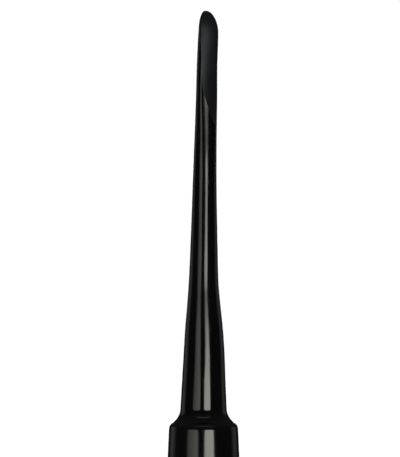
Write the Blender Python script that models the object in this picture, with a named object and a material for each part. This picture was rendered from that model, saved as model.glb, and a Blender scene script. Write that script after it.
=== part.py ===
"""Clay shaper tool: a slender knife-ended tip plugged into a hollow round handle.

Metres, +Z up. The tool stands on its butt with the origin at the centre of the butt face.
The blade's cutting edge is towards +X and its spine towards -X; front and back are mirror images.
"""

import math

import bmesh
import bpy

MM = 0.001

SEGMENTS = 48  # points round every turned or lofted section
GAP = 0.3 * MM  # left between end faces that seat on each other

# Tip: outline of the blade, shaft, flare and neck, as (distance below the very tip, reach of the
# spine side, reach of the edge side), both measured out from the tool's axis.
TIP_STATIONS = (
    # below the very tip, spine's reach, edge's reach, crest's lean, depth over width
    (0.0 * MM, 0.44 * MM, 1.84 * MM, 0.43, 0.74),
    (3.2 * MM, 0.68 * MM, 1.85 * MM, 0.43, 0.78),
    (7.0 * MM, 0.85 * MM, 1.735 * MM, 0.43, 0.80),
    (11.0 * MM, 0.96 * MM, 1.715 * MM, 0.38, 0.83),
    (14.5 * MM, 1.08 * MM, 1.67 * MM, 0.20, 0.88),
    (18.0 * MM, 1.22 * MM, 1.64 * MM, 0.08, 0.94),
    (21.5 * MM, 1.35 * MM, 1.64 * MM, 0.02, 0.98),
    (29.5 * MM, 1.65 * MM, 1.77 * MM, 0.0, 1.06),
    (34.5 * MM, 1.89 * MM, 1.91 * MM, 0.0, 1.08),
    (37.0 * MM, 2.08 * MM, 2.145 * MM, 0.0, 1.05),
    (40.0 * MM, 2.33 * MM, 2.455 * MM, 0.0, 1.01),
    (43.0 * MM, 2.50 * MM, 2.65 * MM, 0.0, 1.015),
    (46.0 * MM, 2.68 * MM, 2.75 * MM, 0.0, 1.03),
)
NECK_DROP = 49.8 * MM  # from the very tip down to where the neck's fillet starts
NECK_RADIUS = 2.9 * MM
PEAK_X = 0.19 * MM  # the very tip's place across the blade
SPINE_ROUND = 1.8 * MM  # height of the rounded corner at the top of the spine
BELLY_ROUND = 2.9 * MM  # height of the curved belly at the top of the edge
FACET_LENGTH = 14.6 * MM  # the two ground facets, from the very tip to their run-out
FACET_BORDER = (  # below the very tip, and where across the blade the facets meet its round back
    (0.0 * MM, -0.28 * MM),
    (3.75 * MM, -0.35 * MM),
    (6.25 * MM, -0.28 * MM),
    (8.75 * MM, -0.19 * MM),
    (10.25 * MM, 0.06 * MM),
    (12.4 * MM, 0.70 * MM),
    (13.4 * MM, 0.99 * MM),
    (14.6 * MM, 1.67 * MM),
)
BORDER_MARGIN = 0.12  # of the blade's width, what a facet leaves of its back on the rounded end
EDGE_LAND = 0.05 * MM  # half the thickness left along the edge

# Where the tip meets the handle
NECK_FLARE = math.radians(4)  # the neck's slope where its fillet starts
FILLET_RADIUS = 2.2 * MM  # hollow curve from the neck out to the seam
SEAM_SLOPE = math.radians(56)  # slope of the outline as it crosses the seam
SHOULDER_ROUND = 1.05 * MM  # rounded corner of the handle's mouth
SHOULDER_FLARE = math.radians(3)  # the handle's slope just below that corner

# Plug on the tip and the socket for it
SPIGOT_RADIUS = 2.55 * MM
SPIGOT_LENGTH = 16.0 * MM
SPIGOT_FIT = 0.25 * MM  # radial clearance, filled with glue
GLUE_GROOVE_DEPTH = 0.25 * MM
GLUE_GROOVE_WIDTH = 1.2 * MM
GLUE_GROOVE_DROPS = (4.5 * MM, 10.0 * MM)  # from the seam to the top of each groove
LEAD_IN = 0.4 * MM  # chamfer on the ends of both plugs
SOCKET_RELIEF = 1.0 * MM  # socket left empty under the spigot

# Steel pin that stiffens the shaft
PIN_RADIUS = 0.6 * MM
PIN_DROP = 26.0 * MM  # from the very tip to the top of the pin
PIN_FIT = 0.2 * MM  # radial clearance in its hole
PIN_RECESS = 0.5 * MM  # how far the pin stops short of the spigot's end
PIN_CHAMFER = 0.15 * MM

# Handle
BARREL_LENGTH = 106.5 * MM  # from the seam at the cap to the seam at the tip
GRIP_DROP = 31.0 * MM  # from the tip's seam to the thickest place
GRIP_RADIUS = 5.05 * MM
WAIST_RISE = 26.0 * MM  # from the cap's seam to the thinnest place
WAIST_RADIUS = 4.35 * MM
TAIL_RADIUS = 4.6 * MM
BORE_RADIUS = 3.25 * MM  # below the socket, down to the tail
SEAM_CHAMFER = 0.2 * MM  # on both edges of the seam between handle and cap

# Tail cap
CAP_HEIGHT = 7.0 * MM
CAP_ROUND = 0.7 * MM  # rounded edge of the butt
CAP_PLUG_LENGTH = 9.0 * MM
CAP_PLUG_FIT = 0.25 * MM  # radial clearance in the handle's bore
CAP_CORE_RADIUS = 1.9 * MM  # hole that keeps the plug's wall even
CAP_CORE_FLOOR = 2.0 * MM  # thickness left above the butt

# Worked out from the sizes above
FILLET_DROP = FILLET_RADIUS * (math.sin(SEAM_SLOPE) - math.sin(NECK_FLARE))
SEAM_RADIUS = NECK_RADIUS + FILLET_RADIUS * (math.cos(NECK_FLARE) - math.cos(SEAM_SLOPE))
SHOULDER_RADIUS = SEAM_RADIUS + SHOULDER_ROUND * (math.cos(SHOULDER_FLARE) - math.cos(SEAM_SLOPE))
SHOULDER_DROP = SHOULDER_ROUND * (math.sin(SEAM_SLOPE) - math.sin(SHOULDER_FLARE))
SOCKET_RADIUS = SPIGOT_RADIUS + SPIGOT_FIT
SEAM_Z = CAP_HEIGHT + BARREL_LENGTH
TIP_Z = SEAM_Z + NECK_DROP + FILLET_DROP
SPIGOT_END_Z = SEAM_Z - SPIGOT_LENGTH
PIN_TOP_Z = TIP_Z - PIN_DROP


def clear_scene():
    for obj in list(bpy.data.objects):
        bpy.data.objects.remove(obj, do_unlink=True)


def make_material(name, colour, roughness, metallic=0.0):
    material = bpy.data.materials.new(name)
    material.use_nodes = True
    shader = material.node_tree.nodes["Principled BSDF"]
    shader.inputs["Base Color"].default_value = (*colour, 1.0)
    shader.inputs["Roughness"].default_value = roughness
    shader.inputs["Metallic"].default_value = metallic
    return material


def add_object(name, bm, material):
    """Turn a finished bmesh into a named object, shaded smooth with its corners kept sharp."""
    bmesh.ops.remove_doubles(bm, verts=bm.verts, dist=0.0005 * MM)
    bmesh.ops.recalc_face_normals(bm, faces=bm.faces)
    mesh = bpy.data.meshes.new(name)
    bm.to_mesh(mesh)
    bm.free()
    mesh.shade_smooth()
    mesh.set_sharp_from_angle(angle=math.radians(28))
    mesh.materials.append(material)
    obj = bpy.data.objects.new(name, mesh)
    bpy.context.scene.collection.objects.link(obj)
    return obj


def turn(name, outline, material):
    """Spin a closed outline of (radius, height) points about the tool's axis."""
    bm = bmesh.new()
    verts = [bm.verts.new((radius, 0.0, height)) for radius, height in outline]
    edges = [bm.edges.new((a, b)) for a, b in zip(verts, verts[1:] + verts[:1])]
    bmesh.ops.spin(
        bm,
        geom=verts + edges,
        cent=(0, 0, 0),
        axis=(0, 0, 1),
        angle=math.tau,
        steps=SEGMENTS,
        use_merge=True,
    )
    return add_object(name, bm, material)


def loft(name, rings, material):
    """Skin a row of rings of SEGMENTS points each, and close the first and the last.

    Each face is split so that its diagonals mirror from front to back, as the facets' edges do.
    """
    bm = bmesh.new()
    loops = [[bm.verts.new(point) for point in ring] for ring in rings]
    for upper, lower in zip(loops, loops[1:]):
        for i in range(SEGMENTS):
            j = (i + 1) % SEGMENTS
            if i < SEGMENTS // 2:
                bm.faces.new((upper[i], upper[j], lower[i]))
                bm.faces.new((upper[j], lower[j], lower[i]))
            else:
                bm.faces.new((upper[i], upper[j], lower[j]))
                bm.faces.new((upper[i], lower[j], lower[i]))
    bm.faces.new(loops[0])
    bm.faces.new(loops[-1])
    return add_object(name, bm, material)


def smooth(points, at):
    """Read a smooth curve through (place, value) points, as a cubic with averaged slopes."""
    slopes = [(b[1] - a[1]) / (b[0] - a[0]) for a, b in zip(points, points[1:])]
    tangents = [slopes[0]] + [(a + b) / 2 for a, b in zip(slopes, slopes[1:])] + [slopes[-1]]
    at = min(max(at, points[0][0]), points[-1][0])
    k = max(i for i in range(len(points) - 1) if points[i][0] <= at)
    (x0, y0), (x1, y1) = points[k], points[k + 1]
    u = (at - x0) / (x1 - x0)
    ends = u * (1 - u) ** 2 * tangents[k] - u * u * (1 - u) * tangents[k + 1]
    return y0 + (y1 - y0) * ease(u) + (x1 - x0) * ends


def ease(u):
    return (3 - 2 * u) * u * u


def arc(radius, first, last, steps):
    """Steps along an arc, as (sideways, along) from its start; slopes are from the axis."""
    for i in range(steps + 1):
        slope = first + (last - first) * i / steps
        yield (
            radius * (math.cos(first) - math.cos(slope)),
            radius * (math.sin(slope) - math.sin(first)),
        )


def rounding(drop, height):
    """From 0 at the very tip to 1 at the foot of a rounded corner of that height."""
    return math.sqrt(1 - (1 - min(drop / height, 1)) ** 2)


def tip_section(drop):
    """One ring of the blade, shaft, flare or neck, that far below the very tip."""
    stations = TIP_STATIONS + ((NECK_DROP, NECK_RADIUS, NECK_RADIUS, 0.0, 1.0),)
    spine, edge, lean, depth = (smooth([(s[0], s[k]) for s in stations], drop) for k in range(1, 5))
    left = PEAK_X - (PEAK_X + spine) * rounding(drop, SPINE_ROUND)
    right = PEAK_X + (edge - PEAK_X) * rounding(drop, BELLY_ROUND)
    middle, half_width = (left + right) / 2, (right - left) / 2
    crest, half_depth = middle - half_width * lean, half_width * depth
    border = max(smooth(FACET_BORDER, drop), left + BORDER_MARGIN * (right - left))
    reach = crest - left if border < crest else right - crest
    rise = half_depth * math.sqrt(max(1 - ((border - crest) / reach) ** 2, 0))
    land = min(EDGE_LAND, rise)
    ring = []
    for i in range(SEGMENTS):
        turned = math.tau * i / SEGMENTS
        side = right - crest if math.cos(turned) > 0 else crest - left
        x, y = crest + side * math.cos(turned), half_depth * math.sin(turned)
        if drop < FACET_LENGTH and x > border:  # on a facet
            flat = land + (rise - land) * (right - x) / (right - border)
            y = math.copysign(min(abs(y), flat), y)
        ring.append((x, y, TIP_Z - drop))
    return ring


def round_ring(radius, height):
    turns = (math.tau * i / SEGMENTS for i in range(SEGMENTS))
    return [(radius * math.cos(t), radius * math.sin(t), height) for t in turns]


def tip_drops():
    """Where the tip's rings lie: close together on the rounded end and at the facets' run-out."""
    rounded = [BELLY_ROUND * (1 - math.cos(math.radians(a))) for a in range(8, 90, 9)]
    blade = [BELLY_ROUND + (FACET_LENGTH * 0.6 - BELLY_ROUND) * i / 6 for i in range(7)]
    run_out = [FACET_LENGTH * math.sin(math.radians(a)) for a in range(42, 91, 4)]
    shaft = [FACET_LENGTH + (NECK_DROP - FACET_LENGTH) * i / 22 for i in range(1, 23)]
    return rounded + blade + run_out + shaft


def glue_grooves():
    """Rings down the spigot that step in and out of its glue grooves."""
    inner = SPIGOT_RADIUS - GLUE_GROOVE_DEPTH
    for drop in GLUE_GROOVE_DROPS:
        top, bottom = SEAM_Z - drop, SEAM_Z - drop - GLUE_GROOVE_WIDTH
        yield from (
            (SPIGOT_RADIUS, top),
            (inner, top - GLUE_GROOVE_DEPTH),
            (inner, bottom + GLUE_GROOVE_DEPTH),
            (SPIGOT_RADIUS, bottom),
        )


def build_tip(material):
    fillet_top = TIP_Z - NECK_DROP
    seam_slope = math.asin(math.sin(SEAM_SLOPE) - GAP / 2 / FILLET_RADIUS)
    hole = PIN_RADIUS + PIN_FIT
    turned = [
        (NECK_RADIUS + out, fillet_top - down)
        for out, down in list(arc(FILLET_RADIUS, NECK_FLARE, seam_slope, 7))[1:]
    ]
    turned += [(SPIGOT_RADIUS, SEAM_Z + GAP / 2), *glue_grooves()]
    turned += [
        (SPIGOT_RADIUS, SPIGOT_END_Z + LEAD_IN),
        (SPIGOT_RADIUS - LEAD_IN, SPIGOT_END_Z),
        (hole, SPIGOT_END_Z),
        (hole, PIN_TOP_Z + GAP),
    ]
    rings = [tip_section(drop) for drop in tip_drops()]
    rings += [round_ring(radius, height) for radius, height in turned]
    return loft("shaper_tip", rings, material)


def build_pin(material):
    foot = SPIGOT_END_Z + PIN_RECESS
    outline = [
        (0, PIN_TOP_Z),
        (PIN_RADIUS - PIN_CHAMFER, PIN_TOP_Z),
        (PIN_RADIUS, PIN_TOP_Z - PIN_CHAMFER),
        (PIN_RADIUS, foot + PIN_CHAMFER),
        (PIN_RADIUS - PIN_CHAMFER, foot),
        (0, foot),
    ]
    return turn("stiffening_pin", outline, material)


def barrel_outline():
    """The handle's outer side from its mouth down to its tail."""
    mouth_slope = math.asin(math.sin(SEAM_SLOPE) - GAP / 2 / SHOULDER_ROUND)
    mouth_radius = SEAM_RADIUS + SHOULDER_ROUND * (math.cos(mouth_slope) - math.cos(SEAM_SLOPE))
    mouth_z = SEAM_Z - GAP / 2
    outline = []
    for i in range(7):
        slope = mouth_slope + (SHOULDER_FLARE - mouth_slope) * i / 6
        outline.append(
            (
                mouth_radius + SHOULDER_ROUND * (math.cos(slope) - math.cos(mouth_slope)),
                mouth_z - SHOULDER_ROUND * (math.sin(mouth_slope) - math.sin(slope)),
            )
        )
    shoulder_z = SEAM_Z - SHOULDER_DROP
    grip_z, waist_z = SEAM_Z - GRIP_DROP, CAP_HEIGHT + WAIST_RISE
    tail_z = CAP_HEIGHT + GAP / 2 + SEAM_CHAMFER
    for i in range(1, 9):  # swells to the grip, with no slope there
        u = i / 8
        radius = GRIP_RADIUS - (GRIP_RADIUS - SHOULDER_RADIUS) * (1 - u) ** 2
        outline.append((radius, shoulder_z + (grip_z - shoulder_z) * u))
    for i in range(1, 13):
        u = i / 12
        radius = GRIP_RADIUS + (WAIST_RADIUS - GRIP_RADIUS) * ease(u)
        outline.append((radius, grip_z + (waist_z - grip_z) * u))
    for i in range(1, 8):
        u = i / 7
        radius = WAIST_RADIUS + (TAIL_RADIUS - WAIST_RADIUS) * ease(u)
        outline.append((radius, waist_z + (tail_z - waist_z) * u))
    return outline


def build_barrel(material):
    socket_z = SPIGOT_END_Z - SOCKET_RELIEF
    tail_z = CAP_HEIGHT + GAP / 2
    outline = barrel_outline()
    outline += [
        (TAIL_RADIUS - SEAM_CHAMFER, tail_z),
        (BORE_RADIUS, tail_z),
        (BORE_RADIUS, socket_z - (BORE_RADIUS - SOCKET_RADIUS)),
        (SOCKET_RADIUS, socket_z),
        (SOCKET_RADIUS, SEAM_Z - GAP / 2),
    ]
    return turn("handle_barrel", outline, material)


def build_cap(material):
    plug_radius = BORE_RADIUS - CAP_PLUG_FIT
    seam_z = CAP_HEIGHT - GAP / 2
    plug_z = seam_z + CAP_PLUG_LENGTH
    edge = [
        (
            TAIL_RADIUS - CAP_ROUND * (1 - math.sin(math.radians(a))),
            CAP_ROUND * (1 - math.cos(math.radians(a))),
        )
        for a in range(90, -1, -15)
    ]
    outline = [
        (0, CAP_CORE_FLOOR),
        (CAP_CORE_RADIUS, CAP_CORE_FLOOR),
        (CAP_CORE_RADIUS, plug_z),
        (plug_radius - LEAD_IN, plug_z),
        (plug_radius, plug_z - LEAD_IN),
        (plug_radius, seam_z),
        (TAIL_RADIUS - SEAM_CHAMFER, seam_z),
        (TAIL_RADIUS, seam_z - SEAM_CHAMFER),
        *edge,
        (0, 0),
    ]
    return turn("tail_cap", outline, material)


def main():
    clear_scene()
    black = (0.010, 0.010, 0.011)
    build_tip(make_material("tip_gloss_black", black, 0.16))
    build_pin(make_material("pin_steel", (0.56, 0.57, 0.58), 0.32, metallic=1.0))
    build_barrel(make_material("handle_gloss_black", black, 0.14))
    build_cap(make_material("cap_gloss_black", (0.012, 0.012, 0.013), 0.20))


main()
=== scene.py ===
import math

import bmesh
import bpy
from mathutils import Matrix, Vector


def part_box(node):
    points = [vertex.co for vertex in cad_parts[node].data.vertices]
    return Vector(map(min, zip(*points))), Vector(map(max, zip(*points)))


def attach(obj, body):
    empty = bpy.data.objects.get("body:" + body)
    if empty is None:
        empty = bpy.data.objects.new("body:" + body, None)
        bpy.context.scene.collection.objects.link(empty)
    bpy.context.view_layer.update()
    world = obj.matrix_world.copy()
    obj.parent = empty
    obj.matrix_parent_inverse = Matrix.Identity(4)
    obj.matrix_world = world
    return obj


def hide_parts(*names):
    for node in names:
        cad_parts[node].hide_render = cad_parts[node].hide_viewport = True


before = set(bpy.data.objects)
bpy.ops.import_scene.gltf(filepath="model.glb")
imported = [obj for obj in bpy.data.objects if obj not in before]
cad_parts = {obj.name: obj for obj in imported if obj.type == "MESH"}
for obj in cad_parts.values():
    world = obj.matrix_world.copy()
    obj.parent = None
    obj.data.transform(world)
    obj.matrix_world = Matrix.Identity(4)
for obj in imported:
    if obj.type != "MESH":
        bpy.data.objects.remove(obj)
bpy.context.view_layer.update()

mm = 0.001
root = "root"  # the one body, because nothing on this tool moves

tipLow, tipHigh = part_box("shaper_tip")
barrelLow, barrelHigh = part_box("handle_barrel")
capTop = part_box("tail_cap")[1].z
pinRadius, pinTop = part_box("stiffening_pin")[1].x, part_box("stiffening_pin")[1].z
frameGap = 0.3 * mm  # what the frame leaves open at each seam
contact = 0.002 * mm  # how far each face stands from the middle of its seam, as good as touching
seamZ = barrelHigh.z + frameGap / 2
tailZ = barrelLow.z - frameGap / 2


# starts a piece as its first ring, which stays selected in edit mode
def startPiece(name, ring, segments):
    bpy.ops.object.select_all(action="DESELECT")
    x, y, wide, deep, height = ring
    bpy.ops.mesh.primitive_circle_add(vertices=segments, radius=wide, location=(x, y, height))
    piece = bpy.context.object
    piece.name = piece.data.name = name
    bpy.ops.object.transform_apply(location=True, rotation=True, scale=True)
    bpy.ops.object.mode_set(mode="EDIT")
    bpy.ops.mesh.select_all(action="SELECT")
    bpy.ops.transform.resize(value=(1, deep / wide, 1), center_override=(x, y, height))
    return piece


# pulls the selected ring on through the others, each given as (x, y, half width, half depth, height)
def pullRings(rings):
    for last, ring in zip(rings, rings[1:]):
        step = [ring[0] - last[0], ring[1] - last[1], ring[4] - last[4]]
        bpy.ops.mesh.extrude_region_move(TRANSFORM_OT_translate={"value": step})
        grow = (ring[2] / last[2], ring[3] / last[3], 1)
        bpy.ops.transform.resize(value=grow, center_override=(ring[0], ring[1], ring[4]))


# ends the last ring as a point, joined back to the first ring, or open, and then caps any open ring
def finishPiece(endWith):
    if endWith == "point":
        bpy.ops.mesh.merge(type="CENTER")
    if endWith == "bridge":
        bpy.ops.mesh.select_all(action="DESELECT")
        bpy.ops.mesh.select_non_manifold()
        bpy.ops.mesh.bridge_edge_loops()
    bpy.ops.mesh.select_all(action="SELECT")
    bpy.ops.mesh.fill_holes(sides=0)
    bpy.ops.mesh.select_all(action="SELECT")
    bpy.ops.mesh.normals_make_consistent(inside=False)
    bpy.ops.object.mode_set(mode="OBJECT")


def applyModifier(piece, kind, **settings):
    modifier = piece.modifiers.new(kind.lower(), kind)
    for name, value in settings.items():
        setattr(modifier, name, value)
    bpy.context.view_layer.objects.active = piece
    bpy.ops.object.modifier_apply(modifier=modifier.name)


def roundRing(radius, height):
    return (0, 0, radius, radius, height)


def softenCorners(piece, width, angle):
    applyModifier(piece, "BEVEL", width=width, segments=2, limit_method="ANGLE",
                  angle_limit=math.radians(angle), use_clamp_overlap=True)


def smoothPiece(piece, angle):
    bpy.ops.object.select_all(action="DESELECT")
    piece.select_set(True)
    bpy.context.view_layer.objects.active = piece
    bpy.ops.object.shade_smooth_by_angle(angle=math.radians(angle))


# gives a piece its materials and puts it in the place of its node in the frame
def dress(piece, materials, node):
    for material in materials:
        piece.data.materials.append(material)
    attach(piece, root)
    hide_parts(node)


# reads a smooth curve through (place, value) points
def smoothThrough(points, at):
    slopes = [(b[1] - a[1]) / (b[0] - a[0]) for a, b in zip(points, points[1:])]
    tangents = [slopes[0]] + [(a + b) / 2 for a, b in zip(slopes, slopes[1:])] + [slopes[-1]]
    at = min(max(at, points[0][0]), points[-1][0])
    k = max(i for i in range(len(points) - 1) if points[i][0] <= at)
    (x0, y0), (x1, y1) = points[k], points[k + 1]
    u = (at - x0) / (x1 - x0)
    ends = u * (1 - u) ** 2 * tangents[k] - u * u * (1 - u) * tangents[k + 1]
    return y0 + (y1 - y0) * ease(u) + (x1 - x0) * ends


# eases from 0 to 1 with flat ends
def ease(u):
    return (3 - 2 * u) * u * u


# steps along an arc as (outwards, downwards) from its start, with slopes measured from the axis
def arcSteps(radius, first, last, count):
    steps = []
    for i in range(1, count + 1):
        slope = first + (last - first) * i / count
        steps.append((radius * (math.cos(first) - math.cos(slope)),
                      radius * (math.sin(slope) - math.sin(first))))
    return steps


def newMaterial(name, colour, roughness, metallic=0.0):
    material = bpy.data.materials.new(name)
    material.use_nodes = True
    nodes, links = material.node_tree.nodes, material.node_tree.links
    shader = nodes["Principled BSDF"]
    shader.inputs["Base Color"].default_value = (*colour, 1)
    shader.inputs["Roughness"].default_value = roughness
    shader.inputs["Metallic"].default_value = metallic
    shader.inputs["IOR"].default_value = 1.5  # of moulded plastics
    return material, nodes, links, shader


# noise in object space; stretch gives the pattern's frequency along x, y and z, per millimetre
def addNoise(nodes, links, stretch, detail):
    place = nodes.new("ShaderNodeTexCoord")
    mapping = nodes.new("ShaderNodeMapping")
    mapping.inputs["Scale"].default_value = [s / mm for s in stretch]
    noise = nodes.new("ShaderNodeTexNoise")
    noise.inputs["Scale"].default_value = 1
    noise.inputs["Detail"].default_value = detail
    links.new(place.outputs["Object"], mapping.inputs["Vector"])
    links.new(mapping.outputs["Vector"], noise.inputs["Vector"])
    return noise.outputs["Fac"]


def addRange(nodes, links, source, low, high, toLow, toHigh):
    spread = nodes.new("ShaderNodeMapRange")
    for name, value in (("From Min", low), ("From Max", high), ("To Min", toLow), ("To Max", toHigh)):
        spread.inputs[name].default_value = value
    links.new(source, spread.inputs["Value"])
    return spread.outputs["Result"]


def addMath(nodes, links, kind, first, second):
    node = nodes.new("ShaderNodeMath")
    node.operation = kind
    for socket, value in zip(node.inputs, (first, second)):
        if isinstance(value, (int, float)):
            socket.default_value = value
        else:
            links.new(value, socket)
    return node.outputs["Value"]


def addBump(nodes, links, height, strength, distance, under=None):
    bump = nodes.new("ShaderNodeBump")
    bump.inputs["Strength"].default_value = strength
    bump.inputs["Distance"].default_value = distance
    links.new(height, bump.inputs["Height"])
    if under is not None:
        links.new(under, bump.inputs["Normal"])
    return bump.outputs["Normal"]


def addTint(nodes, links, factor, dark, light):
    mix = nodes.new("ShaderNodeMix")
    mix.data_type = "RGBA"
    mix.inputs["A"].default_value = (*dark, 1)
    mix.inputs["B"].default_value = (*light, 1)
    links.new(factor, mix.inputs["Factor"])
    return mix.outputs["Result"]


cloudSpan = (0.3, 0.7)  # the part of a noise's range that the finishes spread over their own

# depths are in millimetres; scratches show where their noise passes scratchFrom, fully so after scratchFade
mouldFinish = {
    "colour": (0.0006, 0.0006, 0.0008),
    "worn": (0.0013, 0.0013, 0.0015),
    "roughness": 0.1,
    "clouding": 0.025,
    "scratchFrom": 0.66,
    "scratchFade": 0.05,
    "scratchRoughness": 0.12,
    "scratchStrength": 0.15,
    "scratchDepth": 0.002,
    "ripple": 0.05,
    "rippleDepth": 0.01,
    "flow": 0.08,
    "flowDepth": 0.004,
}


# black plastic with the shine of a polished mould: faint clouding, flow lines and hairline scratches
def polishedPlastic(name, finish):
    material, nodes, links, shader = newMaterial(name, finish["colour"], finish["roughness"])
    cloud = addNoise(nodes, links, (0.35, 0.35, 0.12), 4)
    flow = addNoise(nodes, links, (1.6, 1.6, 0.05), 3)
    hair = addNoise(nodes, links, (9, 9, 0.35), 2)
    ripple = addNoise(nodes, links, (0.9, 0.9, 0.5), 2)
    scratch = addRange(nodes, links, hair, finish["scratchFrom"],
                       finish["scratchFrom"] + finish["scratchFade"], 0, 1)
    scratchRough = addMath(nodes, links, "MULTIPLY", scratch, finish["scratchRoughness"])
    rough = addRange(nodes, links, cloud, *cloudSpan,
                     finish["roughness"] - finish["clouding"], finish["roughness"] + finish["clouding"])
    links.new(addMath(nodes, links, "ADD", rough, scratchRough), shader.inputs["Roughness"])
    links.new(addTint(nodes, links, cloud, finish["colour"], finish["worn"]), shader.inputs["Base Color"])
    normal = addBump(nodes, links, ripple, finish["ripple"], finish["rippleDepth"] * mm)
    normal = addBump(nodes, links, flow, finish["flow"], finish["flowDepth"] * mm, normal)
    normal = addBump(nodes, links, scratch, finish["scratchStrength"], finish["scratchDepth"] * mm, normal)
    links.new(normal, shader.inputs["Normal"])
    return material


groundFinish = {
    "colour": (0.0016, 0.0018, 0.0022),
    "worn": (0.003, 0.0033, 0.0039),
    "roughness": 0.34,
    "clouding": 0.05,
    "shine": 0.4,
    "shineTint": (0.78, 0.88, 1.0, 1),
    "lines": 0.25,
    "grain": 0.2,
    "depth": 0.006,  # of the lines and of the grain, in millimetres
}


# the ground faces of the blade: a fine even satin with grinding lines across the blade
def groundFacet(name, finish):
    material, nodes, links, shader = newMaterial(name, finish["colour"], finish["roughness"])
    shader.inputs["Specular IOR Level"].default_value = finish["shine"]
    shader.inputs["Specular Tint"].default_value = finish["shineTint"]
    grain = addNoise(nodes, links, (3, 3, 3), 4)
    lines = addNoise(nodes, links, (0.5, 0.5, 14), 2)
    cloud = addNoise(nodes, links, (0.5, 0.5, 0.3), 3)
    rough = addRange(nodes, links, cloud, *cloudSpan,
                     finish["roughness"] - finish["clouding"], finish["roughness"] + finish["clouding"])
    links.new(rough, shader.inputs["Roughness"])
    links.new(addTint(nodes, links, grain, finish["colour"], finish["worn"]), shader.inputs["Base Color"])
    normal = addBump(nodes, links, lines, finish["lines"], finish["depth"] * mm)
    normal = addBump(nodes, links, grain, finish["grain"], finish["depth"] * mm, normal)
    links.new(normal, shader.inputs["Normal"])
    return material


wireFinish = {
    "colour": (0.5, 0.5, 0.51),
    "worn": (0.62, 0.62, 0.63),
    "roughness": (0.24, 0.4),
    "lines": 0.4,
    "lineDepth": 0.004,  # in millimetres
}


# drawn steel wire, with die lines along it
def drawnSteel(name, finish):
    material, nodes, links, shader = newMaterial(name, finish["colour"], finish["roughness"][0], metallic=1.0)
    lines = addNoise(nodes, links, (14, 14, 0.1), 3)
    stain = addNoise(nodes, links, (0.6, 0.6, 0.2), 4)
    links.new(addRange(nodes, links, stain, *cloudSpan, *finish["roughness"]), shader.inputs["Roughness"])
    links.new(addTint(nodes, links, stain, finish["colour"], finish["worn"]), shader.inputs["Base Color"])
    normal = addBump(nodes, links, lines, finish["lines"], finish["lineDepth"] * mm)
    links.new(normal, shader.inputs["Normal"])
    return material


tip = {
    "segments": 128,
    # each is millimetres below the very tip, reach of the spine side and of the edge side in millimetres, how
    # far the section's crest leans to the spine as a share of half width, and depth over width
    "stations": (
        (0.0, 0.44, 1.84, 0.43, 0.74), (3.2, 0.68, 1.85, 0.43, 0.78), (7.0, 0.85, 1.735, 0.43, 0.80),
        (11.0, 0.96, 1.715, 0.38, 0.83), (14.5, 1.08, 1.67, 0.20, 0.88), (18.0, 1.22, 1.64, 0.08, 0.94),
        (21.5, 1.35, 1.64, 0.02, 0.98), (29.5, 1.65, 1.77, 0.0, 1.06), (34.5, 1.89, 1.91, 0.0, 1.08),
        (37.0, 2.08, 2.145, 0.0, 1.05), (40.0, 2.33, 2.455, 0.0, 1.01), (43.0, 2.50, 2.65, 0.0, 1.015),
        (46.0, 2.68, 2.75, 0.0, 1.03), (49.8, 2.90, 2.90, 0.0, 1.0),
    ),
    # each is millimetres below the very tip, and where across the blade the facet meets the round back
    "facetBorder": ((0.0, -0.28), (3.75, -0.35), (6.25, -0.28), (8.75, -0.19), (10.25, 0.06), (11.6, 0.41),
                    (12.4, 0.70), (13.4, 0.99), (14.0, 1.27), (14.6, 1.67)),
    "neckDrop": 49.8 * mm,
    "neckRadius": 2.9 * mm,
    "peakX": 0.19 * mm,  # the very tip's place across the blade
    "spineRound": 1.8 * mm,  # how far down the end is rounded on the spine side
    "bellyRound": 2.9 * mm,  # and on the edge side
    "borderMargin": 0.12,  # of the width, what a facet leaves of the back on the rounded end
    "facetLength": 14.6 * mm,
    "facetCrown": 4.1 * mm,  # radius of the facets' slight belly
    "edgeLand": 0.05 * mm,  # half of what the grinding leaves of the edge's thickness
    "filletRadius": 2.2 * mm,
    "neckFlare": math.radians(4),
    "seamSlope": math.radians(56),
    "seamGroove": 0.03 * mm,  # what shows of the seam, on each side of it
    "spigotRadius": 2.55 * mm,
    "grooveDepth": 0.25 * mm,
    "grooveWidth": 1.2 * mm,
    "grooveDrops": (4.5 * mm, 10.0 * mm),
    "leadIn": 0.4 * mm,
    "pinFit": 0.2 * mm,
    "filletSteps": 24,
    "shaftSteps": 110,
    "bladeSteps": 22,
    "runOutFrom": 40,  # degrees of the quarter turn in which the facets run out
    "smoothUnder": 16,
}
filletDrop = tip["filletRadius"] * (math.sin(tip["seamSlope"]) - math.sin(tip["neckFlare"]))
tipTop = seamZ + tip["neckDrop"] + filletDrop
spineCurve, edgeCurve, leanCurve, depthCurve = (
    [(row[0] * mm, row[k] * unit) for row in tip["stations"]]
    for k, unit in ((1, mm), (2, mm), (3, 1), (4, 1)))
borderPoints = [(d * mm, x * mm) for d, x in tip["facetBorder"]]


def cornerRise(drop, height):
    return math.sqrt(1 - (1 - min(max(drop, 0) / height, 1)) ** 2)


# left end, right end, crest and half depth of the tip, that far below the very tip
def tipSection(drop):
    peak = tip["peakX"]
    left = peak - (peak + smoothThrough(spineCurve, drop)) * cornerRise(drop, tip["spineRound"])
    right = peak + (smoothThrough(edgeCurve, drop) - peak) * cornerRise(drop, tip["bellyRound"])
    wide = (right - left) / 2
    crest = (left + right) / 2 - smoothThrough(leanCurve, drop) * wide
    return left, right, crest, wide * smoothThrough(depthCurve, drop)


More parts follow.
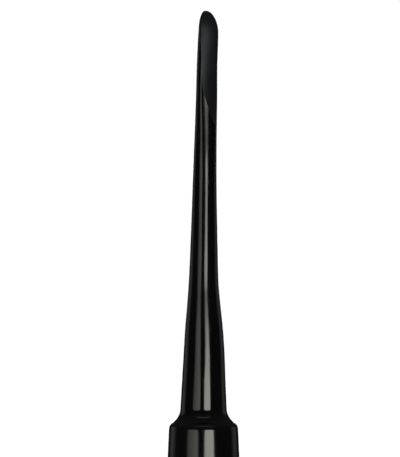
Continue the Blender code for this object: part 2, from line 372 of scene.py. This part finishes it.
# where the blade's rings lie, closest at the rounded end and towards the facets' run-out
def bladeDrops():
    first = tipTop - tipHigh.z
    rounded = [tip["bellyRound"] * (1 - math.cos(math.radians(a))) for a in range(3, 90, 3)]
    rounded = [first] + [drop for drop in rounded if drop > first * 1.3]  # closer ones would crowd the first
    start, end = tip["bellyRound"], tip["facetLength"] * math.sin(math.radians(tip["runOutFrom"]))
    middle = [start + (end - start) * i / tip["bladeSteps"] for i in range(tip["bladeSteps"])]
    runOut = [tip["facetLength"] * math.sin(math.radians(a)) for a in range(tip["runOutFrom"], 91, 2)]
    return rounded + middle + runOut


def tipRing(drop):
    left, right, crest, deep = tipSection(drop)
    return ((left + right) / 2, 0, (right - left) / 2, deep, tipTop - drop)


def selectRing(piece, number, segments, wanted=None):
    mesh = bmesh.from_edit_mesh(piece.data)
    for point in mesh.verts:
        point.select_set(point.index // segments == number and (wanted is None or wanted(point.co)))
    mesh.select_flush(True)


# slides a ring's crest towards the spine by scaling its two halves about their own ends, the left half first,
# because the right half's points move over the line between them
def leanRing(piece, number, drop):
    left, right, crest = tipSection(drop)[:3]
    middle, wide = (left + right) / 2, (right - left) / 2
    share = (middle - crest) / wide
    line = middle + 0.02 * wide  # just past the middle, so that the middle's own points go left
    for end, grow, wanted in ((left, 1 - share, lambda place: place.x <= line),
                              (right, 1 + share, lambda place: place.x > line)):
        selectRing(piece, number, tip["segments"], wanted)
        bpy.ops.transform.resize(value=(grow, 1, 1), center_override=(end, 0, tipTop - drop))


def drawTipBlank():
    hole = pinRadius + tip["pinFit"]
    spigot, groove = tip["spigotRadius"], tip["spigotRadius"] - tip["grooveDepth"]
    rings = [roundRing(hole, pinTop + frameGap), roundRing(hole, tipLow.z),
             roundRing(spigot - tip["leadIn"], tipLow.z), roundRing(spigot, tipLow.z + tip["leadIn"])]
    for drop in reversed(tip["grooveDrops"]):
        top, bottom = seamZ - drop, seamZ - drop - tip["grooveWidth"]
        rings += [roundRing(spigot, bottom), roundRing(groove, bottom + tip["grooveDepth"]),
                  roundRing(groove, top - tip["grooveDepth"]), roundRing(spigot, top)]
    flangeSlope = math.asin(math.sin(tip["seamSlope"]) - tip["seamGroove"] / tip["filletRadius"])
    fillet = arcSteps(tip["filletRadius"], tip["neckFlare"], flangeSlope, tip["filletSteps"])
    flangeRadius = tip["neckRadius"] + fillet[-1][0] - tip["seamGroove"]
    rings += [roundRing(spigot, seamZ + contact), roundRing(flangeRadius, seamZ + contact)]
    rings += [roundRing(tip["neckRadius"] + out, tipTop - tip["neckDrop"] - down)
              for out, down in reversed(fillet)]
    span = tip["neckDrop"] - tip["facetLength"]
    shaft = [tip["neckDrop"] - span * i / tip["shaftSteps"] for i in range(tip["shaftSteps"])]
    drops = shaft + list(reversed(bladeDrops()))
    shaftStart = len(rings)
    rings += [tipRing(drop) for drop in drops]
    piece = startPiece("shaper_tip_moulding", rings[0], tip["segments"])
    pullRings(rings)
    for i, drop in enumerate(drops):
        if smoothThrough(leanCurve, drop) > 0.001:
            leanRing(piece, shaftStart + i, drop)
    selectRing(piece, len(rings) - 1, tip["segments"])
    finishPiece("point")
    return piece


grindingForm = {
    "segments": 256,
    "radius": 14 * mm,  # below the facets, where the form only has to clear the tip
    "above": 0.8 * mm,
    "shoulder": 1 * mm,
    "below": 2 * mm,
}


# a tall round form that holds the whole tip but leaves one facet of the blade outside; side is -1 in front
def drawGrindingForm(side, material):
    rings = []
    first = tipTop - tipHigh.z
    for drop in [-grindingForm["above"]] + bladeDrops():
        left, right, crest, deep = tipSection(max(drop, first))
        flatness = 2 * deep / (right - left)
        border = smoothThrough(borderPoints, drop)
        border = min(max(border, left + tip["borderMargin"] * (right - left)), right)
        reach = (crest - left) if border < crest else (right - crest)
        rise = math.sqrt(max(1 - ((border - crest) / reach) ** 2, 0)) * deep / flatness
        land = tip["edgeLand"] / flatness
        # a circle, flattened as the tip is, through the facet's border and through the land at the edge
        run, climb = right - border, max(rise - land, 1e-6 * mm)
        chord = math.hypot(run, climb)
        back = math.sqrt(tip["facetCrown"] ** 2 - chord ** 2 / 4)
        x = (border + right) / 2 - back * climb / chord
        y = (rise + land) / 2 - back * run / chord
        rings.append((x, side * y * flatness, tip["facetCrown"], tip["facetCrown"] * flatness, tipTop - drop))
    rings.append(roundRing(grindingForm["radius"], tipTop - tip["facetLength"] - grindingForm["shoulder"]))
    rings.append(roundRing(grindingForm["radius"], tipLow.z - grindingForm["below"]))
    form = startPiece("grinding_form", rings[0], grindingForm["segments"])
    pullRings(rings)
    finishPiece("open")
    form.data.materials.append(material)
    return form


def makeTip(gloss, satin):
    piece = drawTipBlank()
    piece.data.materials.append(gloss)
    for side in (-1, 1):
        form = drawGrindingForm(side, satin)
        applyModifier(piece, "BOOLEAN", operation="INTERSECT", object=form, solver="EXACT",
                      material_mode="TRANSFER")
        bpy.data.objects.remove(form)
    smoothPiece(piece, tip["smoothUnder"])
    dress(piece, (), "shaper_tip")
    print("shaper tip:", len(piece.data.polygons), "faces")


barrel = {
    "segments": 160,
    "shoulderRound": 1.05 * mm,
    "shoulderFlare": math.radians(3),
    "gripDrop": 31.0 * mm,
    "waistRise": 26.0 * mm,
    "waistRadius": 4.35 * mm,
    "tailRadius": 4.6 * mm,
    "tailChamfer": 0.12 * mm,
    "boreRadius": 3.25 * mm,
    "socketFit": 0.25 * mm,
    "socketRelief": 1.0 * mm,
    "shoulderSteps": 20,
    "swellSteps": 40,
    "waistSteps": 50,
    "tailSteps": 24,
    "softenOver": 40,
    "smoothUnder": 30,
}


# the handle's outside from its mouth down to its tail, as (radius, height)
def barrelOutline():
    gripRadius = barrelHigh.x
    seamRadius = tip["neckRadius"] + tip["filletRadius"] * (
        math.cos(tip["neckFlare"]) - math.cos(tip["seamSlope"]))
    roundness, flare = barrel["shoulderRound"], barrel["shoulderFlare"]
    groove = tip["seamGroove"]
    mouthSlope = math.asin(math.sin(tip["seamSlope"]) - groove / roundness)
    mouthRadius = seamRadius + roundness * (math.cos(mouthSlope) - math.cos(tip["seamSlope"]))
    outline = [(mouthRadius - groove, seamZ - contact), (mouthRadius, seamZ - groove)]
    for i in range(1, barrel["shoulderSteps"] + 1):
        slope = mouthSlope + (flare - mouthSlope) * i / barrel["shoulderSteps"]
        outline.append((mouthRadius + roundness * (math.cos(slope) - math.cos(mouthSlope)),
                        seamZ - groove - roundness * (math.sin(mouthSlope) - math.sin(slope))))
    shoulderRadius, shoulderZ = outline[-1]
    gripZ, waistZ = seamZ - barrel["gripDrop"], tailZ + barrel["waistRise"]
    endZ = tailZ + contact
    for i in range(1, barrel["swellSteps"] + 1):
        u = i / barrel["swellSteps"]
        outline.append((gripRadius - (gripRadius - shoulderRadius) * (1 - u) ** 2,
                        shoulderZ + (gripZ - shoulderZ) * u))
    for i in range(1, barrel["waistSteps"] + 1):
        u = i / barrel["waistSteps"]
        outline.append((gripRadius + (barrel["waistRadius"] - gripRadius) * ease(u),
                        gripZ + (waistZ - gripZ) * u))
    for i in range(1, barrel["tailSteps"] + 1):
        u = i / barrel["tailSteps"]
        outline.append((barrel["waistRadius"] + (barrel["tailRadius"] - barrel["waistRadius"]) * ease(u),
                        waistZ + (endZ - waistZ) * u))
    return outline


def makeBarrel(gloss):
    socket = tip["spigotRadius"] + barrel["socketFit"]
    bore = barrel["boreRadius"]
    socketZ = tipLow.z - barrel["socketRelief"]
    endZ = tailZ + contact
    rings = [roundRing(radius, height) for radius, height in barrelOutline()]
    rings += [roundRing(bore, endZ), roundRing(bore, socketZ - (bore - socket)),
              roundRing(socket, socketZ), roundRing(socket, seamZ - contact)]
    piece = startPiece("handle_barrel_moulding", rings[0], barrel["segments"])
    pullRings(rings)
    finishPiece("bridge")
    softenCorners(piece, barrel["tailChamfer"], barrel["softenOver"])
    smoothPiece(piece, barrel["smoothUnder"])
    dress(piece, (gloss,), "handle_barrel")
    print("handle barrel:", len(piece.data.polygons), "faces")


cap = {
    "segments": 160,
    "buttRound": 0.7 * mm,
    "plugFit": 0.25 * mm,
    "coreRadius": 1.9 * mm,
    "coreFloor": 2.0 * mm,
    "leadIn": 0.4 * mm,
    "cornerSoftening": 0.12 * mm,
    "softenOver": 40,
    "smoothUnder": 30,
}


def makeCap(gloss):
    radius, plug = barrel["tailRadius"], barrel["boreRadius"] - cap["plugFit"]
    faceZ = tailZ - contact
    rings = [roundRing(cap["coreRadius"], cap["coreFloor"]), roundRing(cap["coreRadius"], capTop),
             roundRing(plug - cap["leadIn"], capTop), roundRing(plug, capTop - cap["leadIn"]),
             roundRing(plug, faceZ), roundRing(radius, faceZ)]
    for angle in range(0, 91, 6):
        turned = math.radians(angle)
        rings.append(roundRing(radius - cap["buttRound"] * (1 - math.cos(turned)),
                               cap["buttRound"] * (1 - math.sin(turned))))
    piece = startPiece("tail_cap_moulding", rings[0], cap["segments"])
    pullRings(rings)
    finishPiece("open")
    softenCorners(piece, cap["cornerSoftening"], cap["softenOver"])
    smoothPiece(piece, cap["smoothUnder"])
    dress(piece, (gloss,), "tail_cap")
    print("tail cap:", len(piece.data.polygons), "faces")


# bearing is measured round from the camera towards +X, and spread is how wide the panel looks from the tool;
# soft is how much of its half width fades out, and weak is what is left of its glow at its side of lower
# bearing; widest is the height at which it is widest, and droop turns its face down; in metres and degrees
panels = (
    {"name": "key_panel", "bearing": 18.5, "spread": 35, "low": -0.1, "high": 0.212, "glow": 5.0,
     "widest": 0.13, "soft": 0.25, "weak": 0.9, "colour": (0.99, 1.0, 0.88)},
    {"name": "fill_panel", "bearing": -36, "spread": 43, "low": -0.1, "high": 0.232, "glow": 1.6,
     "widest": 0.12, "soft": 0.3, "weak": 0.3, "colour": (0.96, 1.0, 0.86)},
    {"name": "side_panel_right", "bearing": 122, "spread": 40, "low": 0.005, "high": 0.38, "glow": 0.15,
     "soft": 0.5, "weak": 1.0, "colour": (0.92, 0.92, 1.0)},
    {"name": "side_panel_left", "bearing": -122, "spread": 42, "low": 0.005, "high": 0.38, "glow": 0.19,
     "soft": 0.5, "weak": 1.0, "colour": (0.92, 0.94, 1.0)},
    {"name": "back_panel", "bearing": 180, "spread": 16, "low": 0.005, "high": 0.3, "glow": 3.0,
     "soft": 0.4, "weak": 1.0, "colour": (1.0, 1.0, 0.95)},
    {"name": "overhead_strip", "bearing": 0, "spread": 100, "low": 0.65, "high": 0.78, "glow": 0.45,
     "soft": 0.5, "weak": 1.0, "colour": (0.85, 0.95, 1.0), "away": 0.38, "droop": 58},
)
panelAway = 0.6  # from the tool's axis, where a panel gives no distance of its own
panelSquareness = 2.3  # 2 makes the panels ellipses, and higher makes them squarer


# rounds the panel off and fades it towards its border, as a diffuser cloth does
def addFalloff(light, widest, soft, weak):
    light.use_nodes = True
    nodes, links = light.node_tree.nodes, light.node_tree.links
    nodes.clear()
    surface = nodes.new("ShaderNodeNewGeometry")
    split = nodes.new("ShaderNodeSeparateXYZ")
    links.new(surface.outputs["Parametric"], split.inputs["Vector"])
    powers = []
    for side, middle in (("X", 0.5), ("Y", widest)):
        beyond = addRange(nodes, links, split.outputs[side], middle, 1, 0, 1)
        before = addRange(nodes, links, split.outputs[side], middle, 0, 0, 1)
        reach = addMath(nodes, links, "MAXIMUM", beyond, before)
        powers.append(addMath(nodes, links, "POWER", reach, panelSquareness))
    corner = addMath(nodes, links, "POWER", addMath(nodes, links, "ADD", *powers), 1 / panelSquareness)
    fade = addRange(nodes, links, corner, 1 - soft, 1, 1, 0)
    fade.node.interpolation_type = "SMOOTHSTEP"
    slope = addRange(nodes, links, split.outputs["X"], 0, 1, weak, 1)
    glow = nodes.new("ShaderNodeEmission")
    output = nodes.new("ShaderNodeOutputLight")
    links.new(addMath(nodes, links, "MULTIPLY", fade, slope), glow.inputs["Strength"])
    links.new(glow.outputs["Emission"], output.inputs["Surface"])


def addPanel(panel):
    turned = math.radians(panel["bearing"])
    away = panel.get("away", panelAway)
    tall = panel["high"] - panel["low"]
    wide = 2 * away * math.tan(math.radians(panel["spread"] / 2))
    light = bpy.data.lights.new(panel["name"], "AREA")
    light.shape = "RECTANGLE"
    light.size, light.size_y = wide, tall
    light.energy = panel["glow"] * wide * tall * 4  # glow is the face's brightness, whatever its size
    light.color = panel["colour"]
    middle = (panel["high"] + panel["low"]) / 2
    widest = (panel.get("widest", middle) - panel["low"]) / tall
    addFalloff(light, widest, panel["soft"], panel["weak"])
    holder = bpy.data.objects.new(panel["name"], light)
    holder.location = (away * math.sin(turned), -away * math.cos(turned), middle)
    holder.rotation_euler = (math.radians(90 - panel.get("droop", 0)), 0, turned)
    holder.visible_camera = False
    bpy.context.scene.collection.objects.link(holder)


# benchZ, benchX and ceilingZ are parts of a direction: where each of them starts and is complete
surround = {
    "mattGlow": 1.25,
    "glossGlow": 1.0,
    "backdropGlow": 1.02,
    "benchZ": (-0.16, -0.5),
    "benchX": (-0.45, 0.3),
    "benchGlow": (1.9, 0.08),
    "ceilingZ": (0.25, 0.9),
    "ceilingGlow": (0.012, 0.05),
}


# white behind the tool and on its matt surroundings; what the gloss reflects is a dim room over a pale bench
def makeSurround():
    world = bpy.data.worlds.new("studio")
    world.use_nodes = True
    bpy.context.scene.world = world
    nodes, links = world.node_tree.nodes, world.node_tree.links
    nodes.clear()
    path = nodes.new("ShaderNodeLightPath")
    output = nodes.new("ShaderNodeOutputWorld")
    direction = nodes.new("ShaderNodeTexCoord")
    split = nodes.new("ShaderNodeSeparateXYZ")
    links.new(direction.outputs["Generated"], split.inputs["Vector"])
    below = addRange(nodes, links, split.outputs["Z"], *surround["benchZ"], 0, 1)
    beside = addRange(nodes, links, split.outputs["X"], *surround["benchX"], *surround["benchGlow"])
    beside.node.interpolation_type = "SMOOTHSTEP"
    above = addRange(nodes, links, split.outputs["Z"], *surround["ceilingZ"], *surround["ceilingGlow"])
    room = addMath(nodes, links, "ADD", addMath(nodes, links, "MULTIPLY", below, beside), above)
    matt, gloss, backdrop = (nodes.new("ShaderNodeBackground") for i in range(3))
    for glow, name in ((matt, "mattGlow"), (gloss, "glossGlow"), (backdrop, "backdropGlow")):
        glow.inputs["Color"].default_value = (surround[name], surround[name], surround[name], 1)
    links.new(room, gloss.inputs["Strength"])
    lighting = nodes.new("ShaderNodeMixShader")
    everything = nodes.new("ShaderNodeMixShader")
    for mix, ray, first, second in ((lighting, "Is Glossy Ray", matt, gloss),
                                    (everything, "Is Camera Ray", lighting, backdrop)):
        links.new(path.outputs[ray], mix.inputs[0])
        links.new(first.outputs[0], mix.inputs[1])
        links.new(second.outputs[0], mix.inputs[2])
    links.new(everything.outputs[0], output.inputs[0])


floorLook = {
    "radius": 3.5,
    "colour": (0.89, 0.89, 0.89),
    "worn": (0.92, 0.92, 0.92),
    "roughness": 0.9,
}


def makeFloor():
    bpy.ops.object.select_all(action="DESELECT")
    bpy.ops.mesh.primitive_circle_add(vertices=96, radius=floorLook["radius"], fill_type="NGON",
                                      location=(0, 0, 0))
    floor = bpy.context.object
    floor.name = "studio_floor"
    material, nodes, links, shader = newMaterial("pale_floor", floorLook["colour"], floorLook["roughness"])
    mottle = addNoise(nodes, links, (0.02, 0.02, 0.02), 3)
    links.new(addTint(nodes, links, mottle, floorLook["colour"], floorLook["worn"]),
              shader.inputs["Base Color"])
    floor.data.materials.append(material)
    floor.visible_glossy = False  # the gloss reflects the surround's bench instead


camera = {
    "distance": 0.6,
    "heightSeen": 57.1 * mm,  # of the tool, along the taller side of the view
    "centreDrop": 27.25 * mm,  # from the very tip down to the middle of the view
    "centreX": -0.44 * mm,
    "filmWidth": 36,
    "clip": (0.01, 20),
}


def makeCamera():
    data = bpy.data.cameras.new("bench_camera")
    data.sensor_width = camera["filmWidth"]
    data.lens = data.sensor_width * camera["distance"] / camera["heightSeen"]
    data.clip_start, data.clip_end = camera["clip"]
    holder = bpy.data.objects.new("bench_camera", data)
    holder.location = (camera["centreX"], -camera["distance"], tipTop - camera["centreDrop"])
    holder.rotation_euler = (math.pi / 2, 0, 0)
    bpy.context.scene.collection.objects.link(holder)
    bpy.context.scene.camera = holder


# the pin is out of sight inside the tip, so it keeps the frame's own solid
def dressPin():
    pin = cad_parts["stiffening_pin"]
    pin.data.materials.clear()
    pin.data.materials.append(drawnSteel("pin_drawn_steel", wireFinish))
    print("stiffening pin dressed")


def main():
    makeCamera()
    handleFinish = dict(mouldFinish, roughness=0.12, ripple=0.04)
    capFinish = dict(mouldFinish, roughness=0.16, clouding=0.04, ripple=0.08)
    makeTip(polishedPlastic("tip_gloss", mouldFinish), groundFacet("tip_ground_facets", groundFinish))
    makeBarrel(polishedPlastic("handle_gloss", handleFinish))
    makeCap(polishedPlastic("cap_gloss", capFinish))
    dressPin()
    for panel in panels:
        addPanel(panel)
    makeSurround()
    makeFloor()
    bpy.context.scene.view_settings.view_transform = "Standard"
    print("stage and lights set")


main()
